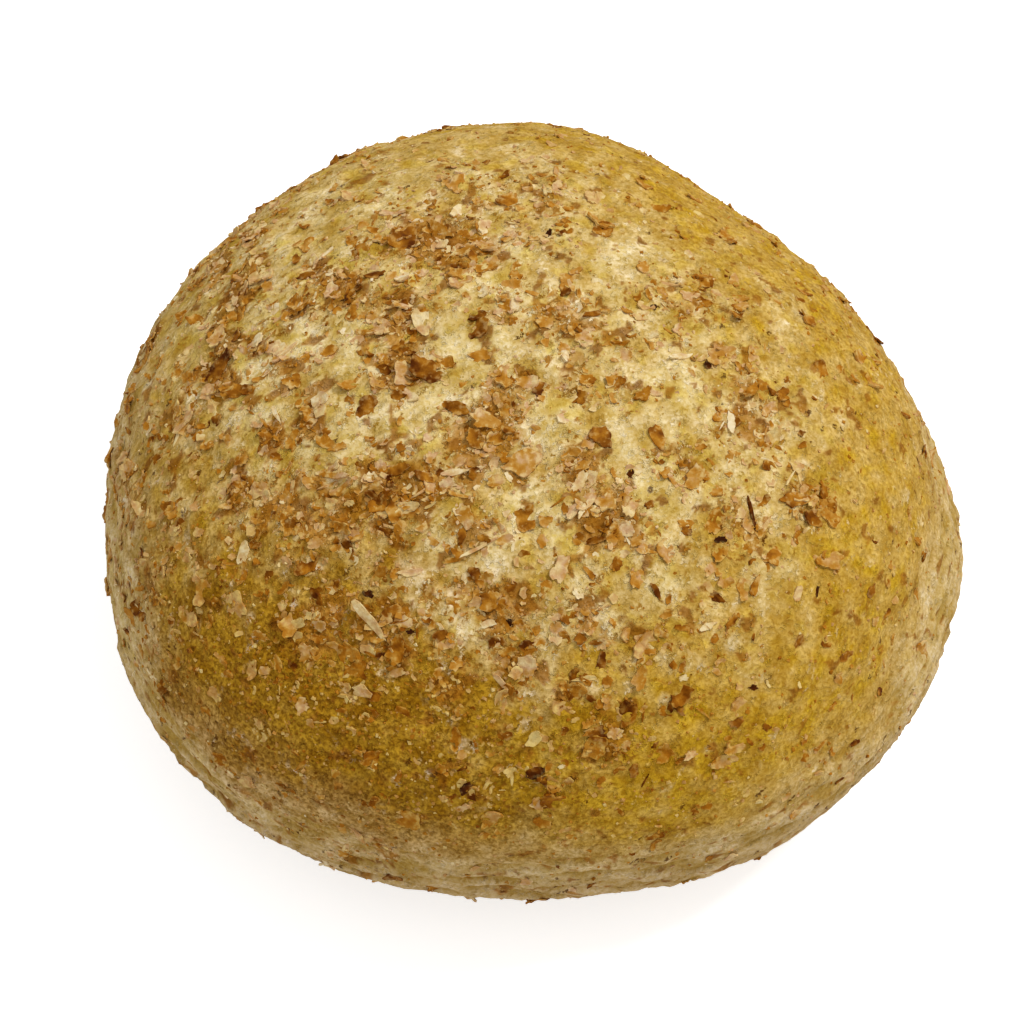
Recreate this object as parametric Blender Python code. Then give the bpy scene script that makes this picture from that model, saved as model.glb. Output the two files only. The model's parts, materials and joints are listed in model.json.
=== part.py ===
"""Bran bun: a round, hand-shaped bread roll with coarse bran flakes baked onto its crust.

The bun is one closed solid, because bread and the flakes baked onto it are one piece. Units are
metres, +Z is up, and the origin is on the resting face, under the middle of the bun's box.
"""

import math

import bmesh
import bpy
import numpy as np
from mathutils import Matrix, Vector, noise

# The loaf: a domed crown over a tighter belly that ends in a flat base
PLAN_RADIUS = 0.0470
HEIGHT = 0.0540
WAIST_HEIGHT = 0.0210
CROWN_FULLNESS = 2.12  # exponent of the superellipse over the waist: 2 is an ellipse
BELLY_FULLNESS = 3.0  # the same, under the waist
BASE_CUT = 0.0020  # how much of the rounded underside the oven shelf flattens away
PROFILE_STEPS = 720

# What makes the outline uneven from above: (waves round the bun, their height, their angle)
OUTLINE_WAVES = (
    (1, 0.00298, -150.8),
    (2, 0.00089, -39.7),
    (3, 0.00111, -20.7),
    (4, 0.00026, 16.9),
    (5, 0.00053, 10.6),
)

# The side where the belly has spread out from under the crown
SPREAD = 0.0032
SPREAD_ANGLE = -14.0
SPREAD_WIDTH = 26.0
SPREAD_FULL_BELOW = 0.018
SPREAD_GONE_ABOVE = 0.030

# Soft lumps in the dough, which die out at the flat base
LUMP_HEIGHT = 0.0004
LUMP_SIZE = 0.015
LUMP_DETAIL = 3
BASE_EASE = 0.006

# Bran flakes baked onto the crust, the largest first
FLAKE_COUNT = 145
FLAKE_LONGEST = 0.0052
FLAKE_SHORTEST = 0.0023
FLAKE_WIDTH_RANGE = (0.45, 0.75)  # as a share of the length
FLAKE_THICKNESS = 0.0009
FLAKE_SIDES = 7
FLAKE_SINK = 0.00004
FLAKE_TILT = 4.5
FLAKE_CURL = 0.00025
FLAKE_GAP = 0.0008
CROWN_LINE = 0.036  # over it flakes lie close together, and under it ever further apart
BARE_LINE = 0.009  # under it there are none
BELLY_SHARE = 0.22
SEED = 20

BALL_SUBDIVISIONS = 5
FLAT_TOLERANCE = 1e-6
SMOOTH_ANGLE = math.radians(32)

CRUST_COLOR = (0.43, 0.25, 0.065, 1.0)
BRAN_COLOR = (0.30, 0.15, 0.055, 1.0)


def clear_scene():
    for old in list(bpy.data.objects):
        bpy.data.objects.remove(old, do_unlink=True)


def new_collection(name):
    collection = bpy.data.collections.new(name)
    bpy.context.scene.collection.children.link(collection)
    return collection


def baked_material(name, color, roughness):
    material = bpy.data.materials.new(name)
    material.use_nodes = True
    material.diffuse_color = color
    shader = material.node_tree.nodes["Principled BSDF"]
    shader.inputs["Base Color"].default_value = color
    shader.inputs["Roughness"].default_value = roughness
    shader.inputs["Metallic"].default_value = 0.0
    return material


def eased(share):
    """0 to 1 with no corner at either end."""
    share = np.clip(share, 0.0, 1.0)
    return share * share * (3.0 - 2.0 * share)


def side_profile():
    """Reach (as a share of the plan radius) and height, by share of the way from base to apex."""
    turn = np.linspace(-math.pi / 2, math.pi / 2, PROFILE_STEPS + 1)
    power = np.where(turn > 0, 2.0 / CROWN_FULLNESS, 2.0 / BELLY_FULLNESS)
    reach = np.clip(np.cos(turn), 0.0, 1.0) ** power
    rise = np.where(turn > 0, HEIGHT - WAIST_HEIGHT, WAIST_HEIGHT + BASE_CUT)
    height = WAIST_HEIGHT + np.sign(turn) * rise * np.abs(np.sin(turn)) ** power
    height = np.clip(height, 0.0, None)
    steps = np.hypot(np.diff(reach) * PLAN_RADIUS, np.diff(height))
    way = np.concatenate([[0.0], np.cumsum(steps)])
    return way / way[-1], reach, height


def lumps(directions):
    """Height of the dough's soft lumps in each direction from the bun's middle."""
    turns = PLAN_RADIUS / LUMP_SIZE
    return LUMP_HEIGHT * np.array([
        noise.fractal(Vector(direction) * turns, 1.0, 2.0, LUMP_DETAIL) for direction in directions
    ])


def crust(directions):
    """The points of the crust that unit directions from the bun's middle lead to."""
    way, reach, height = side_profile()
    share = 0.5 + np.arcsin(np.clip(directions[:, 2], -1.0, 1.0)) / math.pi
    angle = np.arctan2(directions[:, 1], directions[:, 0])
    z = np.interp(share, way, height)
    plan = np.full(len(directions), PLAN_RADIUS)
    for waves, wave_height, wave_angle in OUTLINE_WAVES:
        plan += wave_height * np.cos(waves * (angle - math.radians(wave_angle)))
    off = (np.degrees(angle) - SPREAD_ANGLE + 180.0) % 360.0 - 180.0
    low = eased((SPREAD_GONE_ABOVE - z) / (SPREAD_GONE_ABOVE - SPREAD_FULL_BELOW))
    plan += SPREAD * np.exp(-0.5 * (off / SPREAD_WIDTH) ** 2) * low
    out = np.interp(share, way, reach) * plan
    points = np.stack([out * np.cos(angle), out * np.sin(angle), z], axis=1)
    return points + directions * (lumps(directions) * eased(z / BASE_EASE))[:, None]


def make_bun(collection, material):
    """A ball of even triangles, drawn out to the crust, whose flat base becomes one face."""
    ball = bmesh.new()
    bmesh.ops.create_icosphere(ball, subdivisions=BALL_SUBDIVISIONS, radius=1.0)
    points = crust(np.array([vert.co.normalized() for vert in ball.verts]))
    for vert, point in zip(ball.verts, points):
        vert.co = point
    base = [face for face in ball.faces if all(vert.co.z < FLAT_TOLERANCE for vert in face.verts)]
    bmesh.ops.dissolve_faces(ball, faces=base, use_verts=True)
    mesh = bpy.data.meshes.new("bun")
    ball.to_mesh(mesh)
    ball.free()
    mesh.materials.append(material)
    bun = bpy.data.objects.new("bun", mesh)
    collection.objects.link(bun)
    return bun


def flake_seats(draw):
    """(point, outward normal, flake length), largest first, spread evenly over the upper crust."""
    seats = []
    for length in np.linspace(FLAKE_LONGEST, FLAKE_SHORTEST, FLAKE_COUNT):
        while True:
            direction = draw.normal(size=3)
            direction /= np.linalg.norm(direction)
            # Two close neighbours give the slope of the crust here
            across = np.cross(direction, draw.normal(size=3))
            along = np.cross(direction, across)
            nearby = direction + 0.02 * np.array([[0.0] * 3, across, along])
            nearby /= np.linalg.norm(nearby, axis=1, keepdims=True)
            point, first, second = crust(nearby)
            share = (point[2] - BARE_LINE) / (CROWN_LINE - BARE_LINE)
            wanted = BELLY_SHARE + (1.0 - BELLY_SHARE) * eased(share)
            if share < 0.0 or draw.random() > wanted:
                continue
            gap = 0.5 * length + FLAKE_GAP
            if all(np.linalg.norm(point - seat[0]) > gap + 0.5 * seat[2] for seat in seats):
                break
        normal = np.cross(first - point, second - point)
        normal *= math.copysign(1.0, normal @ direction) / np.linalg.norm(normal)
        seats.append((point, normal, length))
    return seats


def make_flake(number, seat, draw, collection, material):
    """A thin, uneven chip of husk, its edges curling up from the crust."""
    point, normal, length = seat
    width = length * draw.uniform(*FLAKE_WIDTH_RANGE)
    chip = bmesh.new()
    bmesh.ops.create_cone(
        chip, cap_ends=True, cap_tris=True, segments=FLAKE_SIDES, radius1=1.0, radius2=0.8, depth=1.0
    )
    edge_reach = draw.uniform(0.72, 1.08, FLAKE_SIDES)
    for vert in chip.verts:
        radius = math.hypot(vert.co.x, vert.co.y)
        side = round(math.atan2(vert.co.y, vert.co.x) / math.tau * FLAKE_SIDES) % FLAKE_SIDES
        x = vert.co.x * edge_reach[side]
        y = vert.co.y * edge_reach[side]
        lift = FLAKE_CURL * (radius * x) ** 2
        vert.co = (x * length / 2, y * width / 2, vert.co.z * FLAKE_THICKNESS + lift)
    spin = Matrix.Rotation(draw.uniform(0.0, math.tau), 4, "Z")
    tilt = Matrix.Rotation(math.radians(draw.uniform(-FLAKE_TILT, FLAKE_TILT)), 4, "X")
    upright = Vector(normal).to_track_quat("Z", "Y").to_matrix().to_4x4()
    place = Matrix.Translation(Vector(point - normal * FLAKE_SINK))
    mesh = bpy.data.meshes.new(f"flake_{number}")
    chip.to_mesh(mesh)
    chip.free()
    mesh.transform(place @ upright @ tilt @ spin)
    mesh.materials.append(material)
    collection.objects.link(bpy.data.objects.new(mesh.name, mesh))


def fuse(bun, collection):
    """Joins every flake of the collection to the bun, then removes the flakes."""
    union = bun.modifiers.new("fuse_flakes", "BOOLEAN")
    union.operation = "UNION"
    union.operand_type = "COLLECTION"
    union.collection = collection
    union.solver = "EXACT"
    union.material_mode = "TRANSFER"
    evaluated = bun.evaluated_get(bpy.context.evaluated_depsgraph_get())
    fused = bpy.data.meshes.new_from_object(evaluated)
    bun.modifiers.remove(union)
    bare = bun.data
    bun.data = fused
    bpy.data.meshes.remove(bare)
    fused.name = bun.name
    for flake in list(collection.objects):
        bpy.data.meshes.remove(flake.data)
    bpy.data.collections.remove(collection)


def centre(bun):
    """Puts the middle of the bun's box over the origin."""
    corners = np.array([vert.co for vert in bun.data.vertices])
    middle = (corners.min(axis=0) + corners.max(axis=0)) / 2
    bun.data.transform(Matrix.Translation((-middle[0], -middle[1], 0.0)))


def main():
    clear_scene()
    bread = new_collection("bran_bun")
    bran = new_collection("bran_flakes")
    crust_material = baked_material("baked_crust", CRUST_COLOR, roughness=0.72)
    bran_material = baked_material("bran_flake", BRAN_COLOR, roughness=0.6)
    bun = make_bun(bread, crust_material)
    bun.data.materials.append(bran_material)
    draw = np.random.default_rng(SEED)
    for number, seat in enumerate(flake_seats(draw)):
        make_flake(number, seat, draw, bran, bran_material)
    fuse(bun, bran)
    centre(bun)
    bun.data.shade_smooth()
    bun.data.set_sharp_from_angle(angle=SMOOTH_ANGLE)


main()
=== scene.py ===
"""Looks of the bran bun: the crust's relief and bake, and the bran baked onto it."""

import json
import math
from collections import namedtuple

import bmesh
import bpy
import numpy as np
from mathutils import Matrix, Vector, noise
from mathutils.bvhtree import BVHTree

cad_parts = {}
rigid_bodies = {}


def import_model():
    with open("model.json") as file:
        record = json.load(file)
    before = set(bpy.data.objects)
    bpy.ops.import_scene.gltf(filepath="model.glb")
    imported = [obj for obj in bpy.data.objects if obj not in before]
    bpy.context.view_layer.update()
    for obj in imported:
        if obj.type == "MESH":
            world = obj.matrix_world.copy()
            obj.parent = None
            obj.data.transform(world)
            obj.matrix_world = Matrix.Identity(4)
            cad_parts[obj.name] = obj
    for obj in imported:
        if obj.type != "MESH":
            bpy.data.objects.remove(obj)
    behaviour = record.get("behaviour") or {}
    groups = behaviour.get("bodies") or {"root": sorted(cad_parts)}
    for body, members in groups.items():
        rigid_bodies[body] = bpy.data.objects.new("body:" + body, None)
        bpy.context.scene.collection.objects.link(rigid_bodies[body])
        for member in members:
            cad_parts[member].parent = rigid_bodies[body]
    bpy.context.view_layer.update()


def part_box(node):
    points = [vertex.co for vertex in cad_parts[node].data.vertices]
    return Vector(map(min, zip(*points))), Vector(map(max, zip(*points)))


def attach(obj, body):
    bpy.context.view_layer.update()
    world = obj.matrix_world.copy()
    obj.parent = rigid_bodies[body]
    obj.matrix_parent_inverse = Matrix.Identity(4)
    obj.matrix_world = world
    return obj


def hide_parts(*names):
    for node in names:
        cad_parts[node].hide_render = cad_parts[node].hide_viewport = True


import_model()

MM = 0.001

Noise = namedtuple("Noise", "depth size layers offset")  # size in metres; offset: where it is read
Ramp = namedtuple("Ramp", "start length")  # metres up the bun

# -------- the bun's form, as in the solid

PLAN_RADIUS = 0.0470
HEIGHT = 0.0540
WAIST_HEIGHT = 0.0210
CROWN_FULLNESS = 2.12
BELLY_FULLNESS = 3.0
BASE_CUT = 0.0020
PROFILE_STEPS = 720
OUTLINE_WAVES = (  # waves round the outline, height in metres, degrees where they stand out
    (1, 0.00298, -150.8),
    (2, 0.00089, -39.7),
    (3, 0.00111, -20.7),
    (4, 0.00026, 16.9),
    (5, 0.00053, 10.6),
)
SPREAD = 0.0032  # how far the belly has spread on one side
SPREAD_ANGLE = -14.0
SPREAD_WIDTH = 26.0
SPREAD_FULL_BELOW = 0.018
SPREAD_GONE_ABOVE = 0.030
LUMPS = Noise(0.0004, 0.015, 3, 0.0)
BASE_EASE = 0.006  # height over which lumps and relief fade in above the flat underside

# -------- camera, as the photo was taken

IMAGE_SIDE = 1024
ELEVATION = math.radians(58.0)
LENS = 100.0
SENSOR = 36.0
AIM = Vector((-0.0026, -0.0016, 0.0200))
CAMERA_DISTANCE = 0.3275
NEAREST_SEEN = 0.01
FURTHEST_SEEN = 10.0
RIGHT = Vector((1.0, 0.0, 0.0))
UP = Vector((0.0, math.sin(ELEVATION), math.cos(ELEVATION)))
BACK = Vector((0.0, -math.cos(ELEVATION), math.sin(ELEVATION)))
EYE = AIM + BACK * CAMERA_DISTANCE

# -------- colours, as they look in daylight; some also carry painted shade and light, as noted


def srgb(red, green, blue):
    """A linear colour with alpha from the 0 to 255 values of a screen."""
    def linear(part):
        part /= 255.0
        return part / 12.92 if part <= 0.04045 else ((part + 0.055) / 1.055) ** 2.4
    return (linear(red), linear(green), linear(blue), 1.0)


CREAM = srgb(226, 202, 137)
GOLD = srgb(190, 147, 27)
TOAST = srgb(168, 123, 22)
STRAW_YELLOW = srgb(207, 177, 58)
PALE_BELLY = srgb(196, 167, 113)
FLOUR = srgb(234, 213, 158)
BRAN_DUST = srgb(172, 115, 30)
# Dark spots and cracks: partly real stains, partly painted shade between the bran and in crevices
# on the belly.
STAIN_AND_SHADE = srgb(122, 68, 6)
GRAIN_LIGHT = (1.09, 1.13, 1.30, 1.0)
GRAIN_DARK = (0.84, 0.75, 0.44, 1.0)
# The golden crust's grain, strongest on the toasted lower left: partly its own grain, partly
# painted glints and painted shade of its fine relief.
GOLDEN_GRAIN_AND_SHADE_DARK = (0.39, 0.29, 0.07, 1.0)
GOLDEN_GRAIN_AND_GLINT_LIGHT = (1.47, 1.54, 2.30, 1.0)
# The mottle's dark and light also paint shade in the belly's wrinkle valleys and light on their
# ridges.
MOTTLE_AND_WRINKLE_SHADING_LIGHT = (1.19, 1.24, 1.52, 1.0)
MOTTLE_AND_WRINKLE_SHADING_DARK = (0.75, 0.65, 0.34, 1.0)
FIBRE_DARK = (0.89, 0.80, 0.64, 1.0)
FIBRE_LIGHT = (1.06, 1.08, 1.18, 1.0)
BAKED_HUSK = (0.84, 0.74, 0.40, 1.0)
# The dark of a pore is painted shade in its hollow.
PORE_SHADE = srgb(88, 44, 2)
HUSK_TONES = (
    (0.00, srgb(56, 24, 4)),
    (0.14, srgb(94, 46, 4)),
    (0.30, srgb(148, 92, 20)),
    (0.45, srgb(184, 126, 38)),
    (0.60, srgb(196, 148, 72)),
    (0.75, srgb(208, 170, 130)),
    (0.90, srgb(224, 198, 146)),
    (1.00, srgb(236, 220, 182)),
)


def eased(share):
    """0 to 1 with no corner at either end."""
    share = np.clip(share, 0.0, 1.0)
    return share * share * (3.0 - 2.0 * share)


def bell(away, width):
    """1 in the middle of a bell curve, less and less away from it."""
    return np.exp(-0.5 * (away / width) ** 2)


def above(points, ramp):
    """0 up to the ramp's start, easing to 1 at its end."""
    return eased((points[:, 2] - ramp.start) / ramp.length)


def below(points, ramp):
    """0 down to the ramp's start, easing to 1 at its end, further down."""
    return eased((ramp.start - points[:, 2]) / ramp.length)


# -------- form

NOISE_FALL = 1.0  # how fast the layers of noise get fainter
NOISE_STEP = 2.0  # how much finer each layer of noise is than the one before
SHIFT_Y = 0.7
SHIFT_Z = -0.4


def side_profile():
    """Reach (as a share of the plan radius) and height, by share of the way from base to apex."""
    turn = np.linspace(-math.pi / 2, math.pi / 2, PROFILE_STEPS + 1)
    power = np.where(turn > 0, 2.0 / CROWN_FULLNESS, 2.0 / BELLY_FULLNESS)
    reach = np.clip(np.cos(turn), 0.0, 1.0) ** power
    rise = np.where(turn > 0, HEIGHT - WAIST_HEIGHT, WAIST_HEIGHT + BASE_CUT)
    height = WAIST_HEIGHT + np.sign(turn) * rise * np.abs(np.sin(turn)) ** power
    height = np.clip(height, 0.0, None)
    steps = np.hypot(np.diff(reach) * PLAN_RADIUS, np.diff(height))
    way = np.concatenate([[0.0], np.cumsum(steps)])
    return way / way[-1], reach, height


def fractal(points, kind):
    """Smooth noise, as high and low as its depth, whose largest lumps are one size across."""
    shift = Vector((kind.offset, kind.offset * SHIFT_Y, kind.offset * SHIFT_Z))
    return kind.depth * np.array([
        noise.fractal(Vector(point) / kind.size + shift, NOISE_FALL, NOISE_STEP, kind.layers)
        for point in points
    ])


def way_up(directions):
    """How far each unit direction points up, from 0 straight down to 1 straight up."""
    return 0.5 + np.arcsin(np.clip(directions[:, 2], -1.0, 1.0)) / math.pi


def form(directions):
    """The points of the smooth bun that unit directions from its middle lead to."""
    way, reach, height = side_profile()
    share = way_up(directions)
    angle = np.arctan2(directions[:, 1], directions[:, 0])
    z = np.interp(share, way, height)
    plan = np.full(len(directions), PLAN_RADIUS)
    for waves, wave_height, wave_angle in OUTLINE_WAVES:
        plan += wave_height * np.cos(waves * (angle - math.radians(wave_angle)))
    off = (np.degrees(angle) - SPREAD_ANGLE + 180.0) % 360.0 - 180.0
    low = eased((SPREAD_GONE_ABOVE - z) / (SPREAD_GONE_ABOVE - SPREAD_FULL_BELOW))
    plan += SPREAD * bell(off, SPREAD_WIDTH) * low
    out = np.interp(share, way, reach) * plan
    points = np.stack([out * np.cos(angle), out * np.sin(angle), z], axis=1)
    lumps = fractal(directions * PLAN_RADIUS, LUMPS)
    return points + directions * (lumps * eased(z / BASE_EASE))[:, None]


# -------- places in the photo


def stand(name, data):
    """A new object in the scene, at the origin, that shows the data."""
    piece = bpy.data.objects.new(name, data)
    bpy.context.scene.collection.objects.link(piece)
    return piece


def worked_out(holder):
    """The mesh that an object's modifiers make of it; the object goes."""
    evaluated = holder.evaluated_get(bpy.context.evaluated_depsgraph_get())
    mesh = bpy.data.meshes.new_from_object(evaluated)
    bpy.data.objects.remove(holder)
    return mesh


def aim_camera():
    data = bpy.data.cameras.new("camera")
    data.lens = LENS
    data.sensor_width = SENSOR
    data.clip_start = NEAREST_SEEN
    data.clip_end = FURTHEST_SEEN
    camera = stand("camera", data)
    camera.location = EYE
    camera.rotation_euler = (math.pi / 2 - ELEVATION, 0.0, 0.0)
    bpy.context.scene.camera = camera


def look_through(x, y):
    """The direction from the camera through a place in the photo, in pixels."""
    focal = LENS / SENSOR * IMAGE_SIDE
    middle = IMAGE_SIDE / 2
    return (RIGHT * (x - middle) - UP * (y - middle) - BACK * focal).normalized()


LOOK_FROM = 0.0015  # how far over the crust a look straight down starts


class Surface:
    """A crust, asked where a place in the photo lies on it."""

    def __init__(self, points, faces):
        self.tree = BVHTree.FromPolygons([Vector(point) for point in points], faces)

    def at(self, x, y):
        """The place, the way out and the face that the camera sees at a place in the photo."""
        place, normal, face, _ = self.tree.ray_cast(EYE, look_through(x, y))
        return place, normal, face

    def stands_out(self, place, normal, offsets):
        """The most that the crust stands out over a place, at offsets beside it."""
        heights = [0.0]
        for offset in offsets:
            start = place + offset + normal * LOOK_FROM
            top, _, _, _ = self.tree.ray_cast(start, -normal, 2 * LOOK_FROM)
            if top is not None:
                heights.append((top - place).dot(normal))
        return max(heights)


# -------- crust: bake, flour and bran

Patch = namedtuple("Patch", "x y radius strength")  # pixels of the photo, millimetres, share

BRAN_DRIFTS = [Patch(*row) for row in (
    (430, 235, 5.5, 1.0), (400, 300, 4.0, 0.7), (330, 290, 4.0, 0.6), (235, 300, 4.0, 0.5),
    (215, 375, 3.5, 0.6), (185, 420, 4.0, 0.5), (405, 372, 3.5, 0.8), (410, 488, 4.0, 1.0),
    (475, 440, 4.0, 1.0), (470, 530, 3.0, 0.8), (320, 525, 4.0, 0.6), (265, 510, 4.0, 0.5),
    (605, 515, 4.0, 1.0), (585, 460, 2.6, 0.6), (500, 610, 3.6, 0.9), (515, 665, 3.0, 0.8),
    (385, 640, 4.5, 0.7), (310, 640, 4.5, 0.7), (570, 320, 4.0, 0.7), (520, 300, 3.5, 0.4),
    (700, 300, 4.5, 0.5), (740, 380, 4.0, 0.5), (745, 430, 3.4, 0.6), (810, 495, 3.0, 0.6),
    (735, 525, 4.0, 0.6), (690, 470, 3.0, 0.5), (650, 640, 4.0, 0.4), (610, 735, 3.2, 0.7),
    (475, 790, 3.0, 0.5), (540, 780, 3.0, 0.5), (240, 240, 5.0, 0.4), (540, 200, 6.0, 0.4),
    (585, 625, 2.4, 0.6), (445, 690, 2.6, 0.6), (570, 690, 2.2, 0.6),
)]
BARE_PATCHES = [Patch(*row) for row in (
    (625, 255, 4.0, 0.9), (655, 315, 3.0, 0.6), (480, 345, 3.6, 0.8), (352, 375, 3.0, 0.8),
    (415, 415, 3.6, 1.0), (345, 440, 3.0, 0.7), (550, 430, 3.6, 0.9), (620, 440, 3.4, 0.8),
    (665, 500, 3.6, 0.9), (540, 500, 3.2, 0.9), (430, 555, 3.0, 0.8), (500, 570, 3.0, 0.8),
    (560, 620, 3.2, 0.7), (450, 620, 3.0, 0.8), (665, 590, 4.2, 0.8), (740, 470, 3.0, 0.7),
    (800, 420, 3.2, 0.5), (770, 580, 3.6, 0.6), (535, 690, 2.6, 0.7), (690, 400, 3.0, 0.7),
    (300, 350, 2.6, 0.5),
)]

SQUARE_LEVELS = 7  # a cube's side is halved this often, and the cube is then drawn out to the bun
CROWDING = 0.06  # how far the squares crowd towards the crown
ALMOST_NOTHING = 1e-12

# Each table below gives a value by the degrees round the bun.

BELLY_EDGE = {  # the height, in millimetres, where the golden band gives way to the belly
    -180: 38.0, -158: 37.0, -145: 31.5, -130: 27.5, -100: 26.0, -70: 25.0, -40: 25.5, -20: 31.0,
    5: 33.0, 60: 32.0, 110: 30.0, 150: 33.0,
}
CROWN_EDGE = {  # the height, in millimetres, where it gives way to the pale, floury crown
    -180: 44.5, -150: 47.0, -130: 47.5, -100: 46.0, -70: 46.2, -40: 47.5, -10: 49.0, 20: 52.0,
    60: 51.5, 100: 49.0, 150: 44.0,
}
BAND_DEPTH = {  # how golden the band is
    -180: 0.56, -160: 0.72, -140: 0.94, -85: 1.00, -50: 0.90, -20: 0.79, 15: 0.80, 50: 0.85,
    85: 0.77, 125: 0.48, 155: 0.27,
}
BRAN_COVER = {  # how thickly bran lies below the crown
    -180: 1.15, -150: 1.35, -130: 1.35, -105: 1.05, -75: 0.80, -45: 0.55, -15: 0.40, 45: 0.45,
    75: 0.30, 105: 0.35, 135: 0.60, 160: 1.00,
}
BACK_COVER = 1.0  # the same on the far side, where the photo doesn't reach
TOP_COVER = 0.70  # the same on the very top
TOP_EVENED = 0.6
BACK_FROM = 0.1  # how far back the far side starts, as a share of the bun
BACK_EASE = 0.5
BACK_BELOW = Ramp(0.042, 0.006)
TOP = Ramp(0.047, 0.005)
CROWN = Ramp(0.022, 0.016)
LOW_BELLY = Ramp(0.026, 0.012)
DRESSED = Ramp(0.0020, 0.0040)  # nothing lies on the underside, below this
BELLY_SIDE = Ramp(0.002, 0.009)  # where the underside has turned up into the belly
WRINKLED = Ramp(0.0005, 0.0045)
UNDERSIDE_SLANT = 0.8  # how fast marks that run round the bun follow each other underneath

BELLY_BLEND = 6.5  # half the height over which band and belly give way to each other, millimetres
CROWN_BLEND = 7.5
BAND_REACH = 0.8  # how much of the gold is left at the belly's edge, 0.5 being half
HOT_SIDE = math.radians(235)  # where the band is toasted darkest
HOT_WIDTH = math.radians(28)
WANDER = Noise(3.2, 0.011, 2, 3.0)  # depths in millimetres
FRAY = Noise(2.6, 0.0034, 3, 31.0)

HEAPS = Noise(0.7, 0.0062, 3, 11.0)
CLUMPS = Noise(0.7, 0.0027, 3, 13.0)
HEAP_START = 0.02
HEAP_EDGE = 0.42
BRAN_BETWEEN_HEAPS = 0.11
BRAN_IN_HEAPS = 0.63
BARE_THINS = 0.6
BAND_THINS = 0.75
BRAN_LEAST = 0.03
BRAN = {"cover": 0.06, "strewn": 1.0, "drifts": 0.82, "bare": -0.12}
FLAKY = {"bran": 1.08, "everywhere": -0.08, "band": 0.07, "below": 0.03}
GRIT = {"everywhere": 0.03, "bran": 0.55, "band": 0.1, "toast": 0.35}
FLOURED = {"everywhere": 0.20, "band": 0.07, "pale_crown": 0.40, "bare": 0.3, "clouds": 1.0}
CLOUDS = Noise(0.55, 0.0024, 3, 41.0)
GOLD_ON_CROWN = 0.30
GOLD_OFF_BARE = 0.3
GILDING = Noise(0.65, 0.0030, 3, 23.0)
TINTS = Noise(0.6, 0.0021, 4, 17.0)
# Dark spots on the crown, partly stains and partly painted shade between the bran, and dark cracks
# on the belly, painted shade of crevices that the relief doesn't have.
STAINS_AND_SHADE = Noise(1.0, 0.0021, 3, 51.0)
STAIN_AND_SHADE_IN_BRAN = 0.45
STAIN_AND_SHADE_RARITY = 0.42
STAIN_AND_SHADE_EDGE = 0.24
CRACKS = Noise(1.0, 0.0010, 3, 71.0)
CRACK_STRETCH = 3.0
CRACK_RARITY = 0.36
CRACK_EDGE = 0.30
BELLY_UNDER_BAND = 0.54
BELLY_LOWER = 0.46
MOTTLES = Noise(0.7, 0.0030, 4, 61.0)
MOTTLED = {"everywhere": 1.0, "band": -0.35, "toast": 0.50}
PITS = Noise(0.55, 0.0011, 2, 83.0)
# Painted shade in the belly's wrinkle valleys and painted light on their ridges, carried in the
# mottle.
WRINKLE_SHADE = 0.42

SWELLS = Noise(0.00024, 0.0058, 2, 5.0)  # depths in metres
KNOBS = Noise(0.00032, 0.0016, 3, 8.0)
KNOBBLY = {"everywhere": 0.50, "bran": 0.9, "flour": 0.2}
CRUMBLE = Noise(0.00012, 0.0010, 2, 9.0)
CRUMBLY = {"everywhere": 0.4, "bran": 0.6}
WRINKLE_HEIGHT = 0.00025
WRINKLES = Noise(4.0, 0.0022, 3, 2.0)  # its depth is how sharp the ridges are
WRINKLE_STRETCH = 4.5
FOLD_FROM = math.radians(196)
FOLD_TO = math.radians(248)
FOLD_HEIGHT_FROM = 0.0205
FOLD_HEIGHT_TO = 0.0145
FOLD_DEPTH = 0.00045
FOLD_WIDTH = 0.0009
FOLD_ENDS = 4.0  # one over the share of the fold in which it runs out at either end


def squares_on_a_ball():
    """Directions and faces of a cube of even squares, blown up to a ball."""
    bpy.ops.mesh.primitive_cube_add(size=2.0)
    cube = bpy.context.object
    halving = cube.modifiers.new("halving", "SUBSURF")
    halving.subdivision_type = "SIMPLE"
    halving.levels = SQUARE_LEVELS
    halving.render_levels = SQUARE_LEVELS
    mesh = worked_out(cube)
    corners = np.empty(len(mesh.vertices) * 3)
    mesh.vertices.foreach_get("co", corners)
    faces = [tuple(polygon.vertices) for polygon in mesh.polygons]
    bpy.data.meshes.remove(mesh)
    ball = np.tan(corners.reshape(-1, 3) * math.pi / 4)
    ball /= np.linalg.norm(ball, axis=1, keepdims=True)
    share = way_up(ball)
    latitude = (share + CROWDING * np.sin(math.pi * share) - 0.5) * math.pi
    from_axis = np.hypot(ball[:, 0], ball[:, 1])
    flat = np.cos(latitude) / np.maximum(from_axis, ALMOST_NOTHING)
    return np.stack([ball[:, 0] * flat, ball[:, 1] * flat, np.sin(latitude)], axis=1), faces


def patch_share(patches, surface, points):
    """How strongly each point lies in one of the patches."""
    share = np.zeros(len(points))
    for patch in patches:
        place, _, _ = surface.at(patch.x, patch.y)
        away = np.linalg.norm(points - np.array(place), axis=1) / (patch.radius * MM)
        share = np.maximum(share, patch.strength * np.exp(-away ** 2))
    return share


def around(table, angle):
    """A table's value at each angle round the bun."""
    return np.interp(np.degrees(angle), list(table), list(table.values()), period=360)


def wrapped(points, stretch):
    """Points drawn in towards the bun's axis, so that noise on them is drawn out round the bun."""
    angle = np.arctan2(points[:, 1], points[:, 0])
    radius = PLAN_RADIUS / stretch
    inward = PLAN_RADIUS - np.hypot(points[:, 0], points[:, 1])
    underneath = 1.0 - above(points, BELLY_SIDE)
    along = points[:, 2] - UNDERSIDE_SLANT * underneath * inward
    return np.stack([radius * np.cos(angle), radius * np.sin(angle), along], axis=1)


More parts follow.
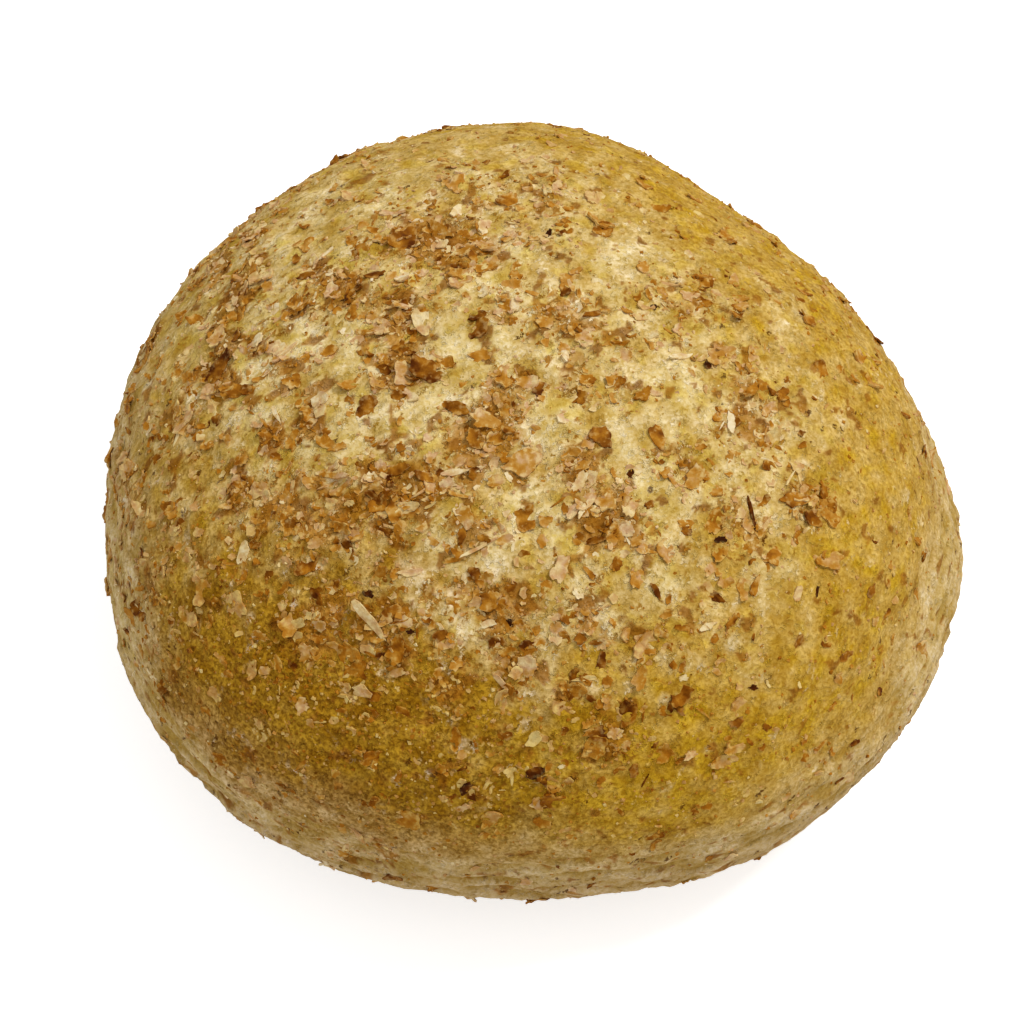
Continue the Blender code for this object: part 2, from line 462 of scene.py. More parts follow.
def wrinkles(points):
    """Ridges that run round the bun, about -1 to 1, and fade out on its flat underside."""
    ridges = 1.0 - np.abs(fractal(wrapped(points, WRINKLE_STRETCH), WRINKLES))
    return ridges * above(points, WRINKLED)


def mixed(weights, shares):
    """The sum of shares, each with its weight."""
    return sum(weight * shares[name] for name, weight in weights.items())


def golden_band(points, angle):
    """How golden the band is at each point, and how far the point lies above the belly."""
    z = points[:, 2] / MM + (fractal(points, WANDER) + fractal(points, FRAY))
    over_belly = (z - around(BELLY_EDGE, angle)) / BELLY_BLEND
    under_crown = (around(CROWN_EDGE, angle) - z) / CROWN_BLEND
    outer = eased(0.5 + 0.5 * under_crown)
    band = eased(BAND_REACH + 0.5 * over_belly) * outer * around(BAND_DEPTH, angle)
    return band, eased(0.5 + 0.5 * over_belly)


def bran_share(points, angle, band, bare, surface):
    """How thickly bran lies at each point."""
    cover = around(BRAN_COVER, angle)
    cover += TOP_EVENED * (TOP_COVER - cover) * above(points, TOP)
    at_back = eased((np.sin(angle) - BACK_FROM) / BACK_EASE) * below(points, BACK_BELOW)
    cover += (BACK_COVER - cover) * at_back
    heaps = fractal(points, HEAPS) + fractal(points, CLUMPS)
    heaped = eased((heaps + HEAP_START) / HEAP_EDGE)
    strewn = above(points, CROWN) * cover * (BRAN_BETWEEN_HEAPS + BRAN_IN_HEAPS * heaped)
    strewn = strewn * (1.0 - BARE_THINS * bare) * (1.0 - BAND_THINS * band)
    drifts = patch_share(BRAN_DRIFTS, surface, points)
    shares = {"cover": cover, "strewn": strewn, "drifts": drifts, "bare": bare}
    return np.clip(mixed(BRAN, shares), BRAN_LEAST, 1.0)


def stain_and_shade_share(points, bran, inner):
    """How strongly each point is darkened: spots on the crown, partly stains and partly painted
    shade between the bran, and cracks on the belly, painted shade of crevices.
    """
    spots = fractal(points, STAINS_AND_SHADE) + STAIN_AND_SHADE_IN_BRAN * bran
    cracks = fractal(wrapped(points, CRACK_STRETCH), CRACKS)
    spotted = eased((spots - STAIN_AND_SHADE_RARITY) / STAIN_AND_SHADE_EDGE)
    return np.maximum(spotted, (1.0 - inner) * eased((cracks - CRACK_RARITY) / CRACK_EDGE))


def mottle_and_wrinkle_shading_share(points, shares, belly):
    """How dark or light the crust's uneven bake is at each point, 0.5 being neither, with painted
    shade in the belly's wrinkle valleys and painted light on their ridges.
    """
    mottle = 0.5 + mixed(MOTTLED, shares) * fractal(points, MOTTLES)
    mottle += shares["toast"] * fractal(points, PITS)
    # painted shade in the wrinkle valleys and painted light on their ridges
    mottle += WRINKLE_SHADE * belly * wrinkles(points)
    return mottle


def crust_marks(points, surface):
    """The bake, belly, bran, stains and painted shade, and flour of the crust at each point, each
    from 0 to 1.
    """
    angle = np.arctan2(points[:, 1], points[:, 0])
    band, inner = golden_band(points, angle)
    bare = patch_share(BARE_PATCHES, surface, points)
    bran = bran_share(points, angle, band, bare, surface)
    crown = above(points, CROWN)
    toast = band * bell((angle - HOT_SIDE + math.pi) % math.tau - math.pi, HOT_WIDTH)
    belly = (1.0 - inner) * (BELLY_UNDER_BAND + BELLY_LOWER * below(points, LOW_BELLY))
    gilt = (1.0 - band) * crown * (GOLD_ON_CROWN + fractal(points, GILDING))
    shares = {
        "everywhere": 1.0,
        "band": band,
        "below": 1.0 - inner,
        "pale_crown": crown * (1.0 - band),
        "bare": bare,
        "bran": bran,
        "toast": toast,
        "clouds": fractal(points, CLOUDS),
    }
    marks = {
        "golden": band + gilt - GOLD_OFF_BARE * bare,
        "toast": toast,
        "belly": belly,
        "bran": bran,
        "flaky": mixed(FLAKY, shares),
        "stain": stain_and_shade_share(points, bran, inner),
        "flour": mixed(FLOURED, shares),
        "tint": 0.5 + fractal(points, TINTS),
        "mottle": mottle_and_wrinkle_shading_share(points, shares, belly),
        "grit": mixed(GRIT, shares),
    }
    marks = {name: np.clip(values, 0.0, 1.0) for name, values in marks.items()}
    for name in ("bran", "flaky", "stain", "flour", "grit"):
        marks[name] = marks[name] * above(points, DRESSED)
    return marks


def crust_relief(points, marks):
    """How far the crust stands out at each point, over the smooth form."""
    angle = np.arctan2(points[:, 1], points[:, 0]) % math.tau
    shares = {"everywhere": 1.0, **marks}
    swell = fractal(points, SWELLS)
    knobs = fractal(points, KNOBS) * mixed(KNOBBLY, shares)
    crumble = fractal(points, CRUMBLE) * mixed(CRUMBLY, shares)
    wrinkled = WRINKLE_HEIGHT * wrinkles(points) * marks["belly"]
    way = (angle - FOLD_FROM) / (FOLD_TO - FOLD_FROM)
    middle = FOLD_HEIGHT_FROM + (FOLD_HEIGHT_TO - FOLD_HEIGHT_FROM) * way
    beside = (points[:, 2] - middle) / FOLD_WIDTH
    held = eased(way * FOLD_ENDS) * eased((1.0 - way) * FOLD_ENDS)
    fold = -FOLD_DEPTH * held * beside * np.exp(0.5 - beside ** 2)
    return (swell + knobs + crumble + wrinkled + fold) * eased(points[:, 2] / BASE_EASE)


def make_crust():
    """The crust as one closed mesh of squares."""
    directions, faces = squares_on_a_ball()
    points = form(directions)
    middle = (points.min(axis=0) + points.max(axis=0)) / 2
    low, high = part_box("bun")
    centre = (np.array(low) + np.array(high)) / 2
    points[:, :2] += (centre - middle)[:2]
    marks = crust_marks(points, Surface(points, faces))
    mesh = bpy.data.meshes.new("crust")
    mesh.from_pydata(points.tolist(), [], faces)
    mesh.update()
    normals = np.empty(len(points) * 3)
    mesh.vertex_normals.foreach_get("vector", normals)
    points = points + normals.reshape(-1, 3) * crust_relief(points, marks)[:, None]
    mesh.vertices.foreach_set("co", points.ravel())
    mesh.update()
    for name, values in marks.items():
        mesh.attributes.new(name, "FLOAT", "POINT").data.foreach_set("value", values)
    mesh.shade_smooth()
    return stand("crust", mesh)


# -------- node helpers


def add(tree, kind, inputs=None, **settings):
    """A new node, with its settings made and each input given a value or a link."""
    node = tree.nodes.new(kind)
    for name, value in settings.items():
        setattr(node, name, value)
    for key, value in (inputs or {}).items():
        if isinstance(value, bpy.types.NodeSocket):
            tree.links.new(value, node.inputs[key])
        else:
            node.inputs[key].default_value = value
    return node


def figure(tree, operation, *values, clamp=False):
    """A sum worked out from values or links."""
    inputs = dict(enumerate(values))
    return add(tree, "ShaderNodeMath", inputs, operation=operation, use_clamp=clamp).outputs[0]


def times(tree, value, other):
    return figure(tree, "MULTIPLY", value, other)


def times_plus(tree, value, factor, start, clamp=False):
    return figure(tree, "MULTIPLY_ADD", value, factor, start, clamp=clamp)


def off_middle(tree, value):
    """A value from 0 to 1 as -0.5 to 0.5."""
    return figure(tree, "SUBTRACT", value, 0.5)


def paint(tree, share, under, over, mode="MIX"):
    """One colour over another, or multiplied with it, by a share."""
    inputs = {0: share, 6: under, 7: over}
    return add(tree, "ShaderNodeMix", inputs, data_type="RGBA", blend_type=mode).outputs[2]


def rise(tree, value, low, high, to_low=0.0, to_high=1.0):
    """A smooth step of the value from low to high."""
    inputs = {0: value, 1: low, 2: high, 3: to_low, 4: to_high}
    return add(tree, "ShaderNodeMapRange", inputs, interpolation_type="SMOOTHSTEP").outputs[0]


SOCKETS = {  # all others are numbers
    "Vector": "Vector", "Geometry": "Geometry", "shapes": "Collection", "finish": "Material",
    "where": "String", "seed": "Int",
}


def grouped(name, inputs, outputs, kind="Shader"):
    """A group of nodes, and what its inputs give."""
    tree = bpy.data.node_groups.new(name, kind + "NodeTree")
    for way, labels in (("INPUT", inputs), ("OUTPUT", outputs)):
        for label in labels:
            socket = "NodeSocket" + SOCKETS.get(label, "Float")
            tree.interface.new_socket(label, in_out=way, socket_type=socket)
    return tree, tree.nodes.new("NodeGroupInput").outputs


def use(tree, group, inputs):
    """Places a shared group in a material."""
    return add(tree, "ShaderNodeGroup", inputs, node_tree=group).outputs


# -------- shared finishes

GRAIN_ROUGHNESS = 0.60
GRAIN_DARKEST = 0.26  # the noise that counts as the darkest grain
GRAIN_LIGHTEST = 0.74
BIT_MIDDLE = 0.15  # in cells: where a bit's flat middle ends
BIT_EDGE = 0.65
PORE_MIDDLE = 0.25
PORE_EDGE = 0.5


def crumb_grain_group():
    """Fine light and dark grain, 0 to 1, of one size."""
    tree, given = grouped("crumb_grain", ("Vector", "Size", "Octaves"), ("Grain",))
    grain = add(tree, "ShaderNodeTexNoise", {
        "Vector": given["Vector"], "Scale": figure(tree, "DIVIDE", 1.0, given["Size"]),
        "Detail": given["Octaves"], "Roughness": GRAIN_ROUGHNESS,
    })
    shade = rise(tree, grain.outputs[0], GRAIN_DARKEST, GRAIN_LIGHTEST)
    add(tree, "NodeGroupOutput", {"Grain": shade})
    return tree


def crumb_bits_group():
    """Small broken bits: a tone that fades to each one's edge, its height, and a few pores, which
    the crust paints dark as their shade.
    """
    inputs = ("Vector", "Size", "Ragged", "Pores")
    tree, given = grouped("crumb_bits", inputs, ("Tone", "Height", "Pore"))
    push = times(tree, given["Size"], given["Ragged"])
    pushed = {0: given["Vector"], 1: push}
    place = add(tree, "ShaderNodeVectorMath", pushed, operation="ADD").outputs[0]
    cell = add(tree, "ShaderNodeTexVoronoi", {
        "Vector": place, "Scale": figure(tree, "DIVIDE", 1.0, given["Size"]),
    }).outputs
    draws = add(tree, "ShaderNodeSeparateColor", {0: cell["Color"]}).outputs
    domed = rise(tree, cell["Distance"], BIT_EDGE, BIT_MIDDLE)
    away = times(tree, off_middle(tree, draws[0]), domed)
    chosen = figure(tree, "LESS_THAN", draws[2], given["Pores"])
    pore = times(tree, chosen, rise(tree, cell["Distance"], PORE_EDGE, PORE_MIDDLE))
    add(tree, "NodeGroupOutput", {
        "Tone": figure(tree, "ADD", away, 0.5), "Height": times(tree, domed, draws[1]),
        "Pore": pore,
    })
    return tree


def husk_color(tree, tone):
    """The colour of bran by tone, from charred to white."""
    ramp = add(tree, "ShaderNodeValToRGB", {0: tone})
    stops = ramp.color_ramp.elements
    for index, (place, color) in enumerate(HUSK_TONES):
        stop = stops[index] if index < 2 else stops.new(place)
        stop.position = place
        stop.color = color
    return ramp.outputs[0]


# -------- materials

Film = namedtuple("Film", "fray start full")  # how ragged it is, where it starts, where it is full

GLOSS = 0.03
CRUST_MARKS = ("golden", "toast", "belly", "bran", "stain", "flour", "tint", "mottle")
CRUST_GRAIN = {"Size": 0.00044, "Octaves": 3.0}
CRUST_BITS = {"Size": 0.00082}
PORES = (0.04, 0.010)  # how many more on the belly, and how many everywhere
BAKE_UNEVEN = 0.7  # how far the bake of the pale crust wanders between cream and gold
BAKE_GOLDEN = 0.96
BAKE_IN_BITS = 0.25
YELLOW_DEPTH = (-0.55, 0.62)  # how much more on gold, and on cream
YELLOWING = Film(0.25, 0.55, 0.75)
TOASTING = Film(0.6, 0.1, 0.95)
DUSTINGS = {  # the film that lies where a mark is high, and how dense it gets
    "flour": (Film(0.7, 0.50, 1.05), 0.7),
    "bran": (Film(-1.1, 0.35, 0.8), 0.8),
    # dark spots and cracks: partly stains, partly painted shade between the bran and in crevices
    "stain": (Film(1.0, 0.2, 1.0), 0.82),
}
VELVET_AND_RELIEF_SHADING = (0.75, 0.25)  # how strong the golden crust's grain is, partly its own grain and partly painted glints and shade of its fine relief: more on toast, and everywhere
FLECKS = (-0.5, 0.9)  # how much more the bits show on gold, and on cream
FLECKS_ON_TOAST = 0.7
PORE_SHADE_DEPTH = 0.85
GRAIN_RAISED = 0.06  # heights, in millimetres
BITS_RAISED = (0.12, 0.10)  # how much more in bran, and everywhere
PORES_SUNK = -0.15
CRUST_ROUGHNESS = (0.60, 0.86)

HUSK_FIBRES = {"Size": 0.0007, "Octaves": 2.2}
HUSK_SHADE = {"Size": 0.0018, "Octaves": 1.5}
SHADE_DEPTH = 0.32
FIBRE_DEPTH = 0.10
# Pale rims on the husk: partly flour and crust over the edges, partly a painted highlight on them.
RIM_FILM = Film(1.6, 0.7, 1.5)
DUST_AND_HIGHLIGHT_ON_HUSK = (0.1, 0.7, 0.1, 0.55)  # from one tone to another, from one share to another
HUSK_BUMP = 0.8
HUSK_ROUGHNESS = (0.5, 0.8)


def new_material(name, roughness):
    """A material with its node tree and its Principled shader."""
    material = bpy.data.materials.new(name)
    material.use_nodes = True
    tree = material.node_tree
    shader = tree.nodes["Principled BSDF"]
    shader.inputs["Roughness"].default_value = roughness
    shader.inputs["Specular IOR Level"].default_value = GLOSS
    return material, tree, shader


def mark(tree, name):
    """The value of a mark on the surface."""
    return add(tree, "ShaderNodeAttribute", attribute_name=name).outputs["Fac"]


def film_share(tree, film, marked, grain):
    """How thick a film lies where a mark is high, its edge ragged by the grain."""
    ragged = times_plus(tree, grain, film.fray, marked)
    return rise(tree, ragged, film.start, film.full)


def finish_surface(tree, shader, color, grain, roughness, height, strength):
    """Links a colour, a roughness that follows the grain, and a bump to the shader."""
    tree.links.new(color, shader.inputs["Base Color"])
    tree.links.new(rise(tree, grain, 0.0, 1.0, *roughness), shader.inputs["Roughness"])
    bump = add(tree, "ShaderNodeBump", {"Strength": strength, "Distance": MM, "Height": height})
    tree.links.new(bump.outputs[0], shader.inputs["Normal"])


def bake_color(tree, marks, rough, odd):
    """Cream to gold, with yellow lows, toast, and the pale belly."""
    golden, tint = marks["golden"], marks["tint"]
    uneven = times(tree, off_middle(tree, tint), BAKE_UNEVEN)
    blend = times(tree, uneven, times_plus(tree, golden, -0.5, 1.0))
    bake = times_plus(tree, golden, BAKE_GOLDEN, blend)
    bake = times_plus(tree, odd, BAKE_IN_BITS, bake, clamp=True)
    color = paint(tree, bake, CREAM, GOLD)
    depth = times_plus(tree, golden, *YELLOW_DEPTH)
    yellow = times(tree, film_share(tree, YELLOWING, tint, rough), depth)
    color = paint(tree, yellow, color, STRAW_YELLOW)
    color = paint(tree, film_share(tree, TOASTING, marks["toast"], uneven), color, TOAST)
    return paint(tree, marks["belly"], color, PALE_BELLY)


def dusted_color(tree, marks, odd, color):
    """Flour, bran dust, and dark spots and cracks, partly stains and partly painted shade, over the
    bake.
    """
    films = (FLOUR, BRAN_DUST, paint(tree, marks["tint"], STAIN_AND_SHADE, BRAN_DUST))
    for (name, (film, depth)), over in zip(DUSTINGS.items(), films):
        share = film_share(tree, film, marks[name], odd)
        color = paint(tree, times(tree, share, depth), color, over)
    return color


def grained_color(tree, marks, grain, odd, color):
    """Grain and mottling, which darken and lighten the crust, with painted glints and shade of fine
    relief in the golden grain and painted light and shade on the belly's wrinkles.
    """
    golden, toast = marks["golden"], marks["toast"]
    # painted glints and shade of the fine relief, strongest on the toasted lower left
    velvet_and_relief_shading = times_plus(tree, toast, *VELVET_AND_RELIEF_SHADING)
    velvet_and_relief_shading = times(tree, golden, velvet_and_relief_shading)
    dark_grain_and_shade = paint(tree, velvet_and_relief_shading, GRAIN_DARK, GOLDEN_GRAIN_AND_SHADE_DARK)
    light_grain_and_glint = paint(tree, velvet_and_relief_shading, GRAIN_LIGHT, GOLDEN_GRAIN_AND_GLINT_LIGHT)
    color = paint(tree, 1.0, color, paint(tree, grain, dark_grain_and_shade, light_grain_and_glint), "MULTIPLY")
    flecked = times_plus(tree, golden, *FLECKS)
    flecked = times_plus(tree, toast, FLECKS_ON_TOAST, flecked)
    # the mottle carries painted light and shade on the belly's wrinkles
    blotch_and_wrinkle_shading = figure(tree, "ADD", times(tree, odd, flecked), marks["mottle"], clamp=True)
    return paint(tree, 1.0, color, paint(tree, blotch_and_wrinkle_shading, MOTTLE_AND_WRINKLE_SHADING_DARK, MOTTLE_AND_WRINKLE_SHADING_LIGHT), "MULTIPLY")


def crust_material(groups):
    """Baked crust: cream to gold to pale belly, with flour, bran dust, grain, and pores painted
    dark as their shade.
    """
    grain_group, bits_group = groups
    material, tree, shader = new_material("baked_crust", 0.7)
    place = add(tree, "ShaderNodeTexCoord").outputs["Object"]
    marks = {name: mark(tree, name) for name in CRUST_MARKS}
    grain = use(tree, grain_group, {"Vector": place, **CRUST_GRAIN})["Grain"]
    pores = times_plus(tree, marks["belly"], *PORES)
    bits = use(tree, bits_group, {"Vector": place, "Ragged": grain, "Pores": pores, **CRUST_BITS})
    odd = off_middle(tree, bits["Tone"])
    color = bake_color(tree, marks, off_middle(tree, grain), odd)
    color = dusted_color(tree, marks, odd, color)
    color = grained_color(tree, marks, grain, odd, color)
    # painted shade: the pores darkened as the shade in their hollows
    color = paint(tree, times(tree, bits["Pore"], PORE_SHADE_DEPTH), color, PORE_SHADE)
    height = times(tree, grain, GRAIN_RAISED)
    lumpy = times_plus(tree, marks["bran"], *BITS_RAISED)
    height = times_plus(tree, bits["Height"], lumpy, height)
    height = times_plus(tree, bits["Pore"], PORES_SUNK, height)
    finish_surface(tree, shader, color, grain, CRUST_ROUGHNESS, height, 1.0)
    return material


def husk_material(groups):
    """Bran, husk and crumbs: the tone of each piece, fibres along it, and a pale rim, partly flour
    over the edge and partly a painted highlight on it.
    """
    grain_group, _ = groups
    material, tree, shader = new_material("bran_husk", 0.6)
    place = add(tree, "ShaderNodeTexCoord").outputs["Object"]
    grain = use(tree, grain_group, {"Vector": place, **HUSK_FIBRES})["Grain"]
    shade = use(tree, grain_group, {"Vector": place, **HUSK_SHADE})["Grain"]
    rough = off_middle(tree, grain)
    tone = mark(tree, "tone")
    shaded = times_plus(tree, off_middle(tree, shade), SHADE_DEPTH, tone)
    color = husk_color(tree, times_plus(tree, rough, FIBRE_DEPTH, shaded))
    # the pale rim: partly flour over the edge, partly a painted highlight on it
    rim = film_share(tree, RIM_FILM, mark(tree, "rim"), rough)
    dust_and_highlight = times(tree, rim, rise(tree, tone, *DUST_AND_HIGHLIGHT_ON_HUSK))
    color = paint(tree, dust_and_highlight, color, CREAM)
    color = paint(tree, mark(tree, "golden"), color, BAKED_HUSK, "MULTIPLY")
    color = paint(tree, 1.0, color, paint(tree, grain, FIBRE_DARK, FIBRE_LIGHT), "MULTIPLY")
    height = times(tree, grain, GRAIN_RAISED)
    finish_surface(tree, shader, color, grain, HUSK_ROUGHNESS, height, HUSK_BUMP)
    return material


# -------- shapes of bran, husk and crumb


Plate = namedtuple("Plate", "sides narrow broad thick curl cuts")  # all but counts in lengths

PLATES = {
    "bran_flakes": Plate(11, 0.45, 0.8, 0.07, 0.17, 1),
    "bran_chips": Plate(6, 0.4, 0.85, 0.14, 0.16, 0),
    "husk_slivers": Plate(8, 0.12, 0.26, 0.08, 0.10, 0),
}
PLATES_OF_A_KIND = 8
CRUMBS_OF_A_KIND = 6
TORN = 0.22  # how ragged a flake's outline is
NOTCHES = 5.0
CRUMPLES = 4.0
CRUMPLE_DEPTH = 0.5
CRUMB_SIDE = 0.8
CRUMB_FLATNESS = 0.8


def plate_shape(draw, sides, wide, thick, curl, cuts, torn=TORN):
    """A thin, torn plate of bran, 1 long, its middle at the origin."""
    plate = bmesh.new()
    bmesh.ops.create_circle(plate, cap_ends=True, cap_tris=True, segments=sides, radius=0.5)
    if cuts:
        bmesh.ops.subdivide_edges(plate, edges=plate.edges[:], cuts=cuts, use_grid_fill=True)
    bmesh.ops.solidify(plate, geom=plate.faces[:], thickness=1.0)
    corners = np.linspace(0.0, math.tau, sides + 1)
    reach = draw.uniform(0.52, 1.14, sides)
    reach = np.append(reach, reach[0])
    start = Vector(draw.uniform(-9.0, 9.0, 3))
    bend = draw.uniform(0.2, 1.0) * curl
    lean = draw.uniform(-0.5, 0.5) * curl
    rim = plate.verts.layers.float.new("rim")
    for vert in plate.verts:
        radius = math.hypot(vert.co.x, vert.co.y)
        angle = math.atan2(vert.co.y, vert.co.x) % math.tau
        edge = Vector((math.cos(angle), math.sin(angle), 0.0))
        drawn = float(np.interp(angle, corners, reach))
        drawn *= 1.0 + torn * noise.noise(edge * NOTCHES + start)
        level = vert.co.z if vert.co.z > 0.5 else min(vert.co.z, 0.0)
        vert[rim] = radius / 0.5
        x = vert.co.x * drawn
        y = vert.co.y * drawn * wide
        crumple = noise.noise(Vector((x, y, 0.0)) * CRUMPLES + start) * curl * CRUMPLE_DEPTH
        vert.co = (x, y, level * thick + 4.0 * bend * x * x + lean * y + crumple)
    return plate


def crumb_shape(draw):
    """A crumb, 1 across, of a few broken faces."""
    crumb = bmesh.new()
    bmesh.ops.create_cube(crumb, size=CRUMB_SIDE)
    for vert in crumb.verts:
        wide, deep, high = draw.uniform(0.45, 1.15, 3)
        vert.co = (vert.co.x * wide, vert.co.y * deep, vert.co.z * high * CRUMB_FLATNESS)
    bmesh.ops.triangulate(crumb, faces=crumb.faces[:])
    return crumb


def shapes_of(name, draw):
    """A few shapes of one kind of bran, each a little different."""
    if name not in PLATES:
        return [crumb_shape(draw) for _ in range(CRUMBS_OF_A_KIND)]
    kind = PLATES[name]
    return [
        plate_shape(draw, kind.sides, draw.uniform(kind.narrow, kind.broad), *kind[3:])
        for _ in range(PLATES_OF_A_KIND)
    ]


def shape_mesh(name, shape):
    """The shape as a mesh whose faces all look outwards."""
    mesh = bpy.data.meshes.new(name)
    bmesh.ops.recalc_face_normals(shape, faces=shape.faces[:])
    shape.to_mesh(mesh)
    shape.free()
    return mesh


def shape_collection(name, shapes):
    """Each shape as an object of its own, in a collection that is never rendered."""
    collection = bpy.data.collections.new(name)
    for number, shape in enumerate(shapes):
        mesh = shape_mesh(f"{name}_{number}", shape)
        collection.objects.link(bpy.data.objects.new(mesh.name, mesh))
    return collection


def drop_collection(collection):
    """Removes a collection and its shapes."""
    for shape in list(collection.objects):
        bpy.data.meshes.remove(shape.data)
    bpy.data.collections.remove(collection)


# -------- scattering, by Geometry Nodes

Strewn = namedtuple(
    "Strewn", "where per_square_metre gap shortest longest sink tilt darkest palest seed",
)

STREWN = {  # where: the mark that is high where the bits lie; gap, lengths and sink in metres
    "bran_flakes": Strewn("bran", 3.2e5, 0.0005, 0.0012, 0.0037, -0.00006, 0.30, 0.26, 0.90, 3),
    "bran_chips": Strewn("flaky", 1.2e6, 0.0003, 0.0006, 0.0021, -0.00002, 0.40, 0.29, 0.94, 13),
    "husk_slivers": Strewn("flaky", 1.3e5, 0.0006, 0.0008, 0.0030, -0.00006, 0.14, 0.20, 1.0, 23),
    "crumbs": Strewn("grit", 2.0e6, 0.0001, 0.0002, 0.00065, 0.00006, 3.0, 0.42, 0.92, 33),
}
FAVOUR_SMALL = 2.0  # the power that makes small bits more usual than large ones


def scatter_tree():
    """Strews shapes over a surface: more where a mark is high, and far more small than large."""
    inputs = ("Geometry", "shapes", "finish", *Strewn._fields)
    tree, given = grouped("strew", inputs, ("Geometry",), "Geometry")
    named = {"Name": given["where"]}
    where = add(tree, "GeometryNodeInputNamedAttribute", named, data_type="FLOAT")
    points = add(tree, "GeometryNodeDistributePointsOnFaces", {
        "Mesh": given["Geometry"], "Distance Min": given["gap"],
        "Density Max": given["per_square_metre"], "Density Factor": where.outputs[0],
        "Seed": given["seed"],
    }, distribute_method="POISSON")
    sunk = add(tree, "ShaderNodeVectorMath", {
        0: points.outputs["Normal"], 3: times(tree, given["sink"], -1.0),
    }, operation="SCALE").outputs[0]
    seats = add(tree, "GeometryNodeSetPosition", {
        "Geometry": points.outputs["Points"], "Offset": sunk,
    })
    untilt = times(tree, given["tilt"], -1.0)
    least = add(tree, "ShaderNodeCombineXYZ", {0: untilt, 1: untilt, 2: 0.0}).outputs[0]
    most = add(tree, "ShaderNodeCombineXYZ", {
        0: given["tilt"], 1: given["tilt"], 2: math.tau,
    }).outputs[0]
    lie = add(tree, "FunctionNodeRandomValue", {
        0: least, 1: most, "Seed": given["seed"],
    }, data_type="FLOAT_VECTOR").outputs[0]
    turned = add(tree, "FunctionNodeRotateRotation", {
        "Rotation": points.outputs["Rotation"], "Rotate By": lie,
    }, rotation_space="LOCAL")
    luck = add(tree, "FunctionNodeRandomValue", {
        2: 0.0, 3: 1.0, "Seed": figure(tree, "ADD", given["seed"], 1.0),
    }, data_type="FLOAT").outputs[1]
    length = add(tree, "ShaderNodeMapRange", {
        0: figure(tree, "POWER", luck, FAVOUR_SMALL), 3: given["shortest"], 4: given["longest"],
    }).outputs[0]
    shapes = add(tree, "GeometryNodeCollectionInfo", {
        "Collection": given["shapes"], "Separate Children": True, "Reset Children": True,
    })
    strewn = add(tree, "GeometryNodeInstanceOnPoints", {
        "Points": seats.outputs[0], "Instance": shapes.outputs[0], "Pick Instance": True,
        "Rotation": turned.outputs[0], "Scale": length,
    })
    tone = add(tree, "FunctionNodeRandomValue", {
        2: given["darkest"], 3: given["palest"], "Seed": figure(tree, "ADD", given["seed"], 2.0),
    }, data_type="FLOAT").outputs[1]
    toned = add(tree, "GeometryNodeStoreNamedAttribute", {
        "Geometry": strewn.outputs[0], "Name": "tone", "Value": tone,
    }, data_type="FLOAT", domain="INSTANCE")
    real = add(tree, "GeometryNodeRealizeInstances", {"Geometry": toned.outputs[0]})
    finished = add(tree, "GeometryNodeSetMaterial", {
        "Geometry": real.outputs[0], "Material": given["finish"],
    })
    add(tree, "NodeGroupOutput", {"Geometry": finished.outputs[0]})
    return tree


def strew(name, tree, ground, finish, draw):
    """A piece of its own: shapes strewn over the ground, made real as one plain mesh."""
    shapes = shape_collection(name + "_shapes", shapes_of(name, draw))
    holder = stand(name + "_ground", ground.data)
    modifier = holder.modifiers.new("strew", "NODES")
    modifier.node_group = tree
    given = {"shapes": shapes, "finish": finish, **STREWN[name]._asdict()}
    for socket in tree.interface.items_tree:
        if socket.in_out == "INPUT" and socket.name in given:
            modifier[socket.identifier] = given[socket.name]
    mesh = worked_out(holder)
    drop_collection(shapes)
    mesh.name = name
    return stand(name, mesh)


# -------- bran that can be told apart

# charred bran, and the painted shade of a pit where a dark bit is laid in one
CHAR_AND_PIT_SHADE = 0.02
MAROON = 0.10
RED_BROWN = 0.22
BROWN = 0.28
RUSTY = 0.37
ORANGE = 0.45
TAN = 0.60
PINK = 0.74
STRAW = 0.88
WHITE = 0.98

Bit = namedtuple("Bit", "x y long wide turn tone")  # photo pixels, millimetres, degrees, tone

